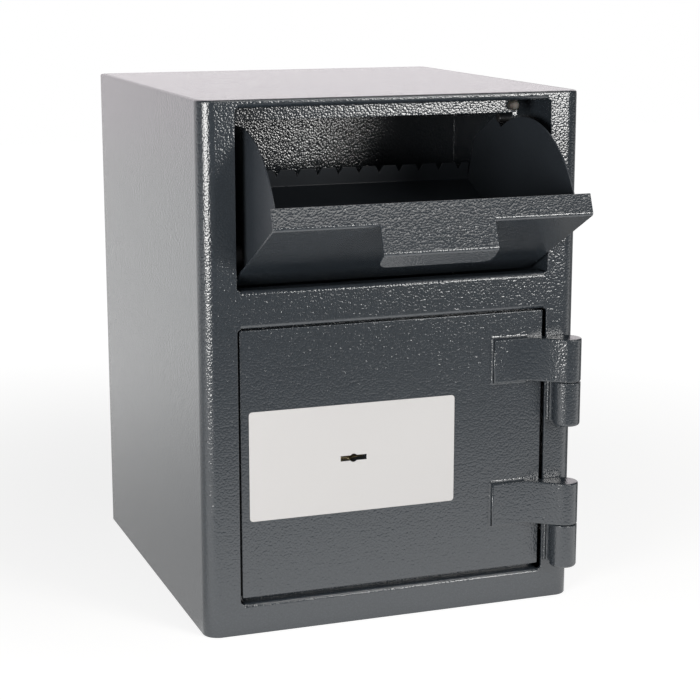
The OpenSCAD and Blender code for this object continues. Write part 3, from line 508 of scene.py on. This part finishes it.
def bush_nylon():
    """Black nylon with the faint lines of a lathe, kept this dark also as painted shade, so that the
    bushes in the gap beside the hopper stay as dark as the shade there
    """
    metal = bpy.context.scene.safe_metal
    surface = Surface("nylon_finish")
    lines = surface.noise(size=0.7 * MM, place=surface.stretched((3.0, 1.0, 1.0)))
    return surface.finish(
        Base_Color=surface.shades(lines, metal.nylon, low=0.8, high=1.2),
        Roughness=surface.spread(lines, low=0.42, high=0.58),
        Normal=surface.relief((lines, 0.01 * MM)),
        IOR=1.52)


FINISHES = {"hammered_paint": hammered_paint, "satin_paint": satin_paint, "label": label_coat,
            "steel": machined_steel, "brass": machined_brass, "buffer": buffer_rubber,
            "nylon": bush_nylon}


def finish_of(slot):
    """The material of a slot, made when it is first asked for"""
    return bpy.data.materials.get(slot + "_finish") or FINISHES[slot]()


# Pieces

def show(name, mesh, body, slot, *nodes):
    """Puts a finished mesh in the scene, on its body, in place of CAD nodes"""
    piece = bpy.data.objects.new(name, mesh)
    bpy.context.scene.collection.objects.link(piece)
    mesh.materials.clear()
    mesh.materials.append(finish_of(slot))
    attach(piece, body)
    if nodes:
        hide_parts(*nodes)
    return piece


def joined_shape(node):
    """A CAD node's mesh with its triangles joined up into whole faces"""
    shape = bmesh.new()
    shape.from_mesh(frame["nodes"][node].data)
    bmesh.ops.remove_doubles(shape, verts=shape.verts, dist=JOIN_WITHIN)
    bmesh.ops.dissolve_limit(shape, angle_limit=FLAT_WITHIN, verts=shape.verts, edges=shape.edges)
    return shape


def dress(rounding, *nodes, width_of=None):
    """Stands a finished skin in for each CAD node, with its outer corners rounded. width_of gives the
    rounding of one outer edge, where it isn't the same for all"""
    for node in nodes:
        shape = joined_shape(node)
        weight = shape.edges.layers.float.new("bevel_weight_edge")
        for face in shape.faces:
            face.smooth = True
        widths = []
        for edge in shape.edges:
            turn = edge.calc_face_angle(0)
            outer = edge.is_convex and BLUNTEST < turn < SHARPEST
            width = (width_of(edge) if width_of else rounding) if outer else 0.0
            edge.smooth = turn < BLUNTEST or width > 0
            widths.append(width)
        widest = max(widths) or rounding
        for edge, width in zip(shape.edges, widths):
            edge[weight] = width / widest
        mesh = bpy.data.meshes.new(node + "_skin")
        shape.to_mesh(mesh)
        shape.free()
        piece = show(node + "_skin", mesh, BODY_OF[node], SLOT_OF[node], node)
        round_corners(piece, widest)


def round_corners(piece, widest):
    """Rounds a piece's weighted edges, the heaviest by the widest rounding"""
    bevel = piece.modifiers.new("Rounded corners", "BEVEL")
    bevel.limit_method = "WEIGHT"
    bevel.offset_type = "OFFSET"
    bevel.width = widest
    bevel.segments = ROUNDING_STEPS
    bevel.use_clamp_overlap = False
    bevel.loop_slide = False
    bevel.harden_normals = True
    shading = piece.modifiers.new("Even shading", "WEIGHTED_NORMAL")
    shading.keep_sharp = True


# Repeated pieces

class GeometryTree(Tree):
    """A Geometry Nodes tree with named inputs"""

    def __init__(self, name, inputs):
        tree = bpy.data.node_groups.new(name, "GeometryNodeTree")
        super().__init__(tree)
        tree.interface.new_socket("Geometry", in_out="INPUT", socket_type="NodeSocketGeometry")
        for label, kind in inputs.items():
            tree.interface.new_socket(label, in_out="INPUT", socket_type="NodeSocket" + kind)
        tree.interface.new_socket("Geometry", in_out="OUTPUT", socket_type="NodeSocketGeometry")

    def given(self, label):
        """What a named input holds"""
        return self.node("NodeGroupInput", output=label)

    def moved(self, geometry, offset):
        """A geometry, moved by an offset"""
        return self.node("GeometryNodeTransform", {}, {"Geometry": geometry, "Translation": offset})

    def vector(self, **parts):
        """A vector from its X, Y and Z, of which any may be left out"""
        return self.node("ShaderNodeCombineXYZ", {}, parts)

    def close(self, geometry, smooth):
        """Ends the tree with real faces in one material, shaded smooth or flat"""
        shaded = self.node("GeometryNodeSetShadeSmooth", {}, {"Geometry": geometry,
                                                              "Shade Smooth": smooth})
        real = self.node("GeometryNodeRealizeInstances", {}, {"Geometry": shaded})
        painted = self.node("GeometryNodeSetMaterial", {}, {"Geometry": real,
                                                            "Material": self.given("Material")})
        self.node("NodeGroupOutput", {}, {0: painted})

    def run(self, name, mesh, values):
        """Runs the tree over a mesh and gives the result as a plain mesh"""
        carrier = bpy.data.objects.new(name + "_path", mesh)
        bpy.context.scene.collection.objects.link(carrier)
        modifier = carrier.modifiers.new(self.tree.name, "NODES")
        modifier.node_group = self.tree
        for item in self.tree.interface.items_tree:
            if item.item_type == "SOCKET" and item.in_out == "INPUT" and item.name in values:
                modifier[item.identifier] = values[item.name]
        bpy.context.view_layer.update()
        evaluated = carrier.evaluated_get(bpy.context.evaluated_depsgraph_get())
        made = bpy.data.meshes.new_from_object(evaluated)
        made.name = name
        carrier.modifiers.remove(modifier)
        bpy.data.objects.remove(carrier)
        return made


def weld_bead_tree():
    """A rippled bead of weld along the edges of the given mesh"""
    tree = GeometryTree("weld_bead", {"Radius": "Float", "Pitch": "Float", "Ripple": "Float",
                                      "Seed": "Int", "Material": "Material"})
    radius, pitch = tree.given("Radius"), tree.given("Pitch")
    line = tree.node("GeometryNodeMeshToCurve", {}, {"Mesh": tree.given("Geometry")})
    line = tree.node("GeometryNodeResampleCurve", {"mode": "LENGTH"},
                     {"Curve": line, "Length": pitch / RIPPLE_STEPS})
    uneven = tree.node("ShaderNodeTexNoise", {"noise_dimensions": "4D"},
                       {"W": tree.given("Seed"), "Scale": WANDER_SCALE, "Detail": 2.0}, "Color")
    push = tree.resized(tree.centred(uneven), radius * WANDER_SHARE)
    line = tree.node("GeometryNodeSetPosition", {}, {"Geometry": line, "Offset": push})
    length = tree.node("GeometryNodeSplineParameter", output="Length")
    step = (length / pitch) % 1.0
    wide = radius * (1.0 - tree.given("Ripple") * step * step)
    ring = tree.node("GeometryNodeCurvePrimitiveCircle", {"mode": "RADIUS"},
                     {"Resolution": BEAD_SIDES, "Radius": 1.0})
    bead = tree.node("GeometryNodeCurveToMesh", {}, {"Curve": line, "Profile Curve": ring,
                                                     "Scale": wide, "Fill Caps": True})
    tree.close(bead, smooth=True)
    return tree


def screw_tree(name, recess):
    """A screw at each point, its head up along the point's facing, with the recess cut in it"""
    tree = GeometryTree(name, {"Head": "Float", "Head height": "Float", "Shank": "Float",
                               "Length": "Float", "Material": "Material"})
    head, tall = tree.given("Head"), tree.given("Head height")
    shank, length = tree.given("Shank"), tree.given("Length")

    def disc(low, high, height, lift, sides=ROUND_SIDES):
        """A round or many-sided solid from its lower and upper radius"""
        cone = tree.node("GeometryNodeMeshCone", {}, {"Vertices": sides, "Radius Bottom": low,
                                                      "Radius Top": high, "Depth": height})
        return tree.moved(cone, tree.vector(Z=lift))

    def joined(operation, **meshes):
        """Solids made into one, or cut out of the first"""
        inputs = {key.replace("_", " "): value for key, value in meshes.items()}
        return tree.node("GeometryNodeMeshBoolean", {"operation": operation, "solver": "EXACT"},
                         inputs, "Mesh")

    rim = disc(head, head, tall * RIM_TALL, 0.0)
    crown = disc(head, head * CROWN_TOP, tall * CROWN_TALL, tall * CROWN_LIFT)
    pin = disc(shank, shank, length, tall * SHANK_RISE - length)
    blank = joined("UNION", Mesh_2=[rim, crown, pin])
    if recess == "cross":
        bars = [tree.vector(X=head * wide, Y=head * deep, Z=tall * CROSS_TALL)
                for wide, deep in ((CROSS_LONG, CROSS_WIDE), (CROSS_WIDE, CROSS_LONG))]
        cuts = [tree.moved(tree.node("GeometryNodeMeshCube", {}, {"Size": bar}),
                           tree.vector(Z=tall * CROSS_LIFT)) for bar in bars]
    else:
        socket = head * SOCKET_WIDE
        cuts = [disc(socket, socket, tall, tall * SOCKET_LIFT, SOCKET_SIDES)]
    screw = joined("DIFFERENCE", Mesh_1=blank, Mesh_2=cuts)
    facing = tree.node("GeometryNodeInputNamedAttribute", {"data_type": "FLOAT_VECTOR"},
                       {"Name": "facing"}, "Attribute")
    turn = tree.node("FunctionNodeAlignRotationToVector", {"axis": "Z"}, {"Vector": facing})
    points = tree.node("GeometryNodeMeshToPoints", {}, {"Mesh": tree.given("Geometry")})
    placed = tree.node("GeometryNodeInstanceOnPoints", {}, {"Points": points, "Instance": screw,
                                                            "Rotation": turn})
    tree.close(placed, smooth=False)
    return tree


def path_mesh(name, *lines):
    """A mesh of bare edges along each line of points"""
    mesh = bpy.data.meshes.new(name)
    points = [point for line in lines for point in line]
    edges, first = [], 0
    for line in lines:
        edges += [(first + step, first + step + 1) for step in range(len(line) - 1)]
        first += len(line)
    mesh.from_pydata(points, edges, [])
    return mesh


def islands(node):
    """Lowest and highest corners of each separate solid of a CAD node"""
    shape = joined_shape(node)
    left, found = set(shape.verts), []
    while left:
        front, group = [left.pop()], []
        while front:
            vert = front.pop()
            group.append(vert.co.copy())
            for edge in vert.link_edges:
                other = edge.other_vert(vert)
                if other in left:
                    left.remove(other)
                    front.append(other)
        found.append((Vector(map(min, zip(*group))), Vector(map(max, zip(*group)))))
    shape.free()
    return sorted(found, key=lambda corners: tuple(corners[0]))


def seated_points(name, seats):
    """A mesh of points, each with the direction that its screw head faces"""
    mesh = bpy.data.meshes.new(name)
    mesh.from_pydata([place for place, _ in seats], [], [])
    facing = mesh.attributes.new("facing", "FLOAT_VECTOR", "POINT")
    for number, (_, direction) in enumerate(seats):
        facing.data[number].vector = direction
    return mesh


def fit_screws(node, recess, facing_of, head, tall, shank):
    """Stands cut screws in for a CAD node's plain ones, which are all of one length. facing_of takes a
    screw's middle and gives the axis that it lies along and the way that its head faces"""
    seats = []
    for low, high in islands(node):
        seat = (low + high) / 2
        axis, side = facing_of(seat)
        seat[axis] = (high if side > 0 else low)[axis] - side * tall
        facing = Vector((0, 0, 0))
        facing[axis] = side
        seats.append((seat, facing))
        length = high[axis] - low[axis] - tall
    tree = screw_tree(node + "_tree", recess)
    mesh = tree.run(node + "_cut", seated_points("seats", seats), {
        "Head": head, "Head height": tall, "Shank": shank, "Length": length,
        "Material": finish_of(SLOT_OF[node])})
    show(node + "_cut", mesh, BODY_OF[node], SLOT_OF[node], node)


# Operators

class SAFE_OT_body_shell(bpy.types.Operator):
    """Paint the folded body, its top, back and base"""
    bl_idname = "safe.body_shell"
    bl_label = "Body shell"

    def execute(self, context):
        edges = context.scene.safe_edges
        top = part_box("body_wrapper")[1].z

        def width_of(edge):
            """Rounds the bent top edge wider than the cut edges"""
            middle = (edge.verts[0].co + edge.verts[1].co) / 2
            side = min(edge.link_faces, key=lambda face: face.normal.z)
            bent = middle.z > top - JOIN_WITHIN and side.normal.dot(middle) > 0
            return edges.rim if bent else edges.plate

        dress(edges.plate, "body_wrapper", width_of=width_of)
        dress(edges.plate * PANEL_SHARE, "top_plate", "back_plate", "base_plate")
        dress(edges.sheet, "door_rebate_frame")
        return {"FINISHED"}


class SAFE_OT_chamber(bpy.types.Operator):
    """Paint the hopper's chamber, its stop bar and the baffle, and finish the buffer and pins"""
    bl_idname = "safe.chamber"
    bl_label = "Hopper chamber"

    def execute(self, context):
        edges = context.scene.safe_edges
        dress(edges.sheet, "left_guide_plate", "right_guide_plate", "chamber_back_panel",
              "anti_fishing_baffle", "stop_bar")
        dress(edges.machined, "closing_buffer", "opening_stop_pins")
        return {"FINISHED"}


class SAFE_OT_hopper(bpy.types.Operator):
    """Paint the tilting hopper's front, floor and cheeks"""
    bl_idname = "safe.hopper"
    bl_label = "Hopper"

    def execute(self, context):
        edges = context.scene.safe_edges
        dress(edges.sheet, "hopper_front", "hopper_floor", "left_cheek", "right_cheek")
        return {"FINISHED"}


class SAFE_OT_pivots(bpy.types.Operator):
    """Finish the hopper's bushes and nuts, and make its two socket-head pivot screws"""
    bl_idname = "safe.pivots"
    bl_label = "Hopper pivots"

    def execute(self, context):
        edges, screws = context.scene.safe_edges, context.scene.safe_screws
        dress(edges.machined, "left_pivot_bush", "right_pivot_bush", "pivot_nuts")
        fit_screws("pivot_screws", "hexagon", lambda middle: (0, -1 if middle.x > 0 else 1),
                   screws.pivot_head, screws.pivot_head_h, screws.pivot_shank)
        return {"FINISHED"}


class SAFE_OT_door(bpy.types.Operator):
    """Paint the door and its plates, and coat the bare label plate"""
    bl_idname = "safe.door"
    bl_label = "Door"

    def execute(self, context):
        edges = context.scene.safe_edges
        dress(edges.plate, "door_plate")
        dress(edges.label, "label_plate")
        dress(edges.machined, "dog_bar")
        return {"FINISHED"}


class SAFE_OT_hinges(bpy.types.Operator):
    """Paint the hinge straps and knuckles, and finish their pins"""
    bl_idname = "safe.hinges"
    bl_label = "Hinges"

    def execute(self, context):
        edges = context.scene.safe_edges
        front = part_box("body_wrapper")[0].y

        def proud(width, margin):
            """Rounds the edges that stand clear of the welds, and leaves the welds sharp"""
            return lambda edge: width if all(v.co.y < front - margin for v in edge.verts) else 0.0

        for level in ("upper", "lower"):
            dress(edges.hinge, level + "_hinge_strap", width_of=proud(edges.hinge, STRAP_CLEAR))
            dress(edges.hinge, level + "_frame_knuckle",
                  width_of=proud(edges.hinge * KNUCKLE_SHARE, KNUCKLE_CLEAR))
            dress(edges.machined, level + "_hinge_pin")
        return {"FINISHED"}


class SAFE_OT_welds(bpy.types.Operator):
    """Run the weld beads beside the frame's knuckles and down the chamber's rear corners"""
    bl_idname = "safe.welds"
    bl_label = "Weld beads"

    def execute(self, context):
        weld = context.scene.safe_weld
        lines = []
        for level in ("upper", "lower"):
            low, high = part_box(level + "_frame_knuckle")
            x = low.x + weld.radius * BEAD_ASIDE
            y = high.y - weld.radius * BEAD_SINK
            lines.append([Vector((x, y, z)) for z in (low.z + BEAD_SHORT, high.z - BEAD_TOP_SHORT)])
        low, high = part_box("chamber_back_panel")
        for x in (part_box("left_guide_plate")[1].x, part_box("right_guide_plate")[0].x):
            lines.append([Vector((x, low.y, z)) for z in (low.z + BEAD_SHORT, high.z - BEAD_SHORT)])
        mesh = weld_bead_tree().run("weld_beads", path_mesh("weld_path", *lines), {
            "Radius": weld.radius, "Pitch": weld.pitch, "Ripple": weld.ripple, "Seed": weld.seed,
            "Material": finish_of("hammered_paint")})
        show("weld_beads", mesh, "root", "hammered_paint")
        return {"FINISHED"}


class SAFE_OT_boltwork(bpy.types.Operator):
    """Finish the boltwork: keeper, guide, bar and bolts"""
    bl_idname = "safe.boltwork"
    bl_label = "Boltwork"

    def execute(self, context):
        edges = context.scene.safe_edges
        dress(edges.machined, "bolt_keeper", "bolt_guide", "bolt_bar", "locking_bolts")
        return {"FINISHED"}


class SAFE_OT_lock(bpy.types.Operator):
    """Finish the lock: its case, cover, bolt and key barrel, and its four cross-head screws"""
    bl_idname = "safe.lock"
    bl_label = "Lock"

    def execute(self, context):
        edges, screws = context.scene.safe_edges, context.scene.safe_screws
        dress(edges.machined, "lock_case", "lock_cover", "lock_bolt", "key_barrel")
        fit_screws("lock_screws", "cross", lambda middle: (1, 1),
                   screws.lock_head, screws.lock_head_h, screws.lock_shank)
        return {"FINISHED"}


# Stage

class Lamp(NamedTuple):
    """A rectangular lamp that faces the safe: angles in degrees, sizes in metres"""
    name: str
    azimuth: float
    elevation: float
    distance: float
    width: float
    height: float
    radiance: float
    colour: tuple


LAMPS = (
    Lamp("left_box", -48.5, 4.5, 1.66, 0.74, 0.58, 11.0, (1.0, 0.99, 0.97)),
    Lamp("right_box", 26.0, 11.0, 1.70, 0.48, 0.44, 12.8, (1.0, 0.99, 0.97)),
    Lamp("top_box", 20.0, 45.5, 1.6, 1.2, 0.6, 2.4, (1.0, 0.98, 0.95)),
)

# Middle of the safe, which the lamps face
AIM = Vector((0, 0, 0.23))

# How far the floor lies under the base, so that their faces don't meet
FLOOR_DROP = 0.2 * MM

# Colours of the floor's paper, its shadow and the backdrop in reflections
PAPER_DARK = (0.80, 0.80, 0.80)
PAPER_LIGHT = (0.84, 0.84, 0.84)
SHADOW_GREY = (0.45, 0.45, 0.45)
BACKDROP_TINT = (1.0, 0.95, 0.98)

# The camera's sensor in millimetres, and how far it sees in metres
SENSOR_WIDTH = 36
FARTHEST_SEEN = 100


def studio_light(tree, stage):
    """White to the camera, and to a gloss a backdrop behind the safe that ends on its right"""
    across = tree.node("ShaderNodeTexCoord", output="Generated")
    seen, glossy = tree.rays()
    backdrop = tree.ramp(tree.along(across, "Y"), start=0.25, end=0.70,
                         first=stage.before, last=stage.behind)
    backdrop = backdrop * tree.ramp(tree.along(across, "X"), start=0.55, end=0.85,
                                    first=1.0, last=stage.right)
    mirrored = glossy * (1.0 - seen)
    level = seen + mirrored * backdrop + (1.0 - seen - mirrored) * stage.fill
    tint = tree.mixed(mirrored, WHITE, BACKDROP_TINT)
    light = tree.node("ShaderNodeBackground", {}, {"Color": tint, "Strength": level})
    tree.node("ShaderNodeOutputWorld", {}, {"Surface": light})


def floor_paper():
    """White paper that keeps the safe's shadow. In reflections it glows with painted light and shade:
    brightest just in front of the safe, darker close beside and behind it as a painted shadow, and
    darker towards the right
    """
    surface = Surface("floor")
    seen, glossy = surface.rays()
    forward = surface.along(surface.place, "Y")
    sideways = surface.along(surface.place, "X")
    # Painted reflection: the floor's glow in reflections is set by place. It fades away in front, is
    # darker beside and behind the safe as its painted shadow, and is darker to the right
    front = surface.ramp(forward, start=-1.1, end=-0.25, first=0.18, last=1.25)
    behind = surface.ramp(forward, start=0.0, end=1.0, first=0.62, last=1.18)
    beside = surface.ramp(forward, start=-0.22, end=-0.12, first=0.0, last=1.0)
    leftward = surface.ramp(sideways, start=0.1, end=0.4, first=1.0, last=0.3)
    near = front * (1.0 - beside) + behind * beside * leftward
    grain = surface.noise(size=3 * MM)
    paper = surface.node("ShaderNodeBsdfDiffuse", {},
                         {"Color": surface.mixed(grain, PAPER_DARK, PAPER_LIGHT)})
    shade = surface.node("ShaderNodeBsdfDiffuse", {}, {"Color": SHADOW_GREY})
    from_safe = surface.node("ShaderNodeVectorMath", {"operation": "LENGTH"}, {0: surface.place},
                             "Value")
    # Painted shade: the floor glows less near the safe, so that it reads darker round it and white far
    # off
    painted_shade_glow = surface.ramp(from_safe, start=0.25, end=1.3, first=0.80, last=1.0)
    glow = surface.node("ShaderNodeEmission", {}, {"Color": WHITE, "Strength": painted_shade_glow})
    bright = surface.node("ShaderNodeAddShader", {}, {0: shade, 1: glow})
    sheet = surface.node("ShaderNodeEmission", {}, {"Color": WHITE, "Strength": near})
    mirrored = surface.node("ShaderNodeMixShader", {}, {0: glossy, 1: paper, 2: sheet})
    body = surface.node("ShaderNodeMixShader", {}, {0: seen, 1: mirrored, 2: bright})
    surface.node("ShaderNodeOutputMaterial", {}, {"Surface": body})
    surface.material.cycles.emission_sampling = "NONE"
    return surface.material


class SAFE_OT_stage(bpy.types.Operator):
    """Lay the floor, hang the lamps and set up the camera"""
    bl_idname = "safe.stage"
    bl_label = "Stage"

    def execute(self, context):
        stage = context.scene.safe_stage
        self.world(context.scene, stage)
        self.floor(context.scene, stage)
        for lamp in LAMPS:
            self.lamp(context.scene, lamp)
        self.camera(context.scene, stage)
        context.scene.view_settings.view_transform = "Standard"
        return {"FINISHED"}

    @staticmethod
    def world(scene, stage):
        scene.world = bpy.data.worlds.new("studio")
        scene.world.use_nodes = True
        scene.world.cycles.sampling_method = "NONE"
        studio_light(Tree(scene.world.node_tree), stage)

    @staticmethod
    def floor(scene, stage):
        corners = [(-stage.floor_side, -stage.floor_front), (stage.floor_side, -stage.floor_front),
                   (stage.floor_side, stage.floor_back), (-stage.floor_side, stage.floor_back)]
        mesh = bpy.data.meshes.new("floor")
        mesh.from_pydata([(x, y, -FLOOR_DROP) for x, y in corners], [], [(0, 1, 2, 3)])
        mesh.materials.append(floor_paper())
        plane = bpy.data.objects.new("floor", mesh)
        scene.collection.objects.link(plane)

    @staticmethod
    def lamp(scene, lamp):
        light = bpy.data.lights.new(lamp.name, "AREA")
        light.shape = "RECTANGLE"
        light.size = lamp.width
        light.size_y = lamp.height
        light.energy = lamp.radiance * math.pi * lamp.width * lamp.height
        light.color = lamp.colour
        turn, rise = math.radians(lamp.azimuth), math.radians(lamp.elevation)
        away = Vector((math.sin(turn) * math.cos(rise), -math.cos(turn) * math.cos(rise),
                       math.sin(rise)))
        holder = bpy.data.objects.new(lamp.name, light)
        holder.location = away * lamp.distance + AIM
        holder.rotation_euler = away.to_track_quat("Z", "Y").to_euler()
        holder.visible_camera = False
        scene.collection.objects.link(holder)

    @staticmethod
    def camera(scene, stage):
        lens = bpy.data.cameras.new("camera")
        lens.lens = stage.lens
        lens.sensor_width = SENSOR_WIDTH
        lens.clip_end = FARTHEST_SEEN
        holder = bpy.data.objects.new("camera", lens)
        holder.location = stage.camera
        holder.rotation_euler = (math.pi / 2 - stage.pitch, 0, -stage.yaw)
        scene.collection.objects.link(holder)
        scene.camera = holder


# The add-on

SETTINGS = {"safe_edges": EdgeSettings, "safe_paint": PaintSettings, "safe_metal": MetalSettings,
            "safe_weld": WeldSettings, "safe_screws": ScrewSettings, "safe_stage": StageSettings}
OPERATORS = (SAFE_OT_body_shell, SAFE_OT_chamber, SAFE_OT_hopper, SAFE_OT_pivots, SAFE_OT_door,
             SAFE_OT_hinges, SAFE_OT_welds, SAFE_OT_boltwork, SAFE_OT_lock, SAFE_OT_stage)


class SAFE_PT_sidebar(bpy.types.Panel):
    """The safe's settings and the buttons that make its pieces"""
    bl_idname = "SAFE_PT_sidebar"
    bl_label = "Deposit Safe"
    bl_space_type = "VIEW_3D"
    bl_region_type = "UI"
    bl_category = "Deposit Safe"

    def draw(self, context):
        for operator in OPERATORS:
            self.layout.operator(operator.bl_idname)
        for name, group in SETTINGS.items():
            box = self.layout.box()
            box.label(text=group.__doc__)
            for field in group.__annotations__:
                box.prop(getattr(context.scene, name), field)


def register():
    for group in SETTINGS.values():
        bpy.utils.register_class(group)
    for name, group in SETTINGS.items():
        setattr(bpy.types.Scene, name, PointerProperty(type=group))
    for kind in (*OPERATORS, SAFE_PT_sidebar):
        bpy.utils.register_class(kind)


def unregister():
    for kind in reversed((*OPERATORS, SAFE_PT_sidebar)):
        bpy.utils.unregister_class(kind)
    for name, group in reversed(SETTINGS.items()):
        delattr(bpy.types.Scene, name)
        bpy.utils.unregister_class(group)


def main():
    """Makes every piece and the stage"""
    for item in list(bpy.data.objects):
        if "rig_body" not in item and not item.name.startswith("body:"):
            bpy.data.objects.remove(item)
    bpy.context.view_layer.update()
    register()
    for operator in OPERATORS:
        group, name = operator.bl_idname.split(".")
        getattr(getattr(bpy.ops, group), name)()


if __name__ == "__main__":
    main()
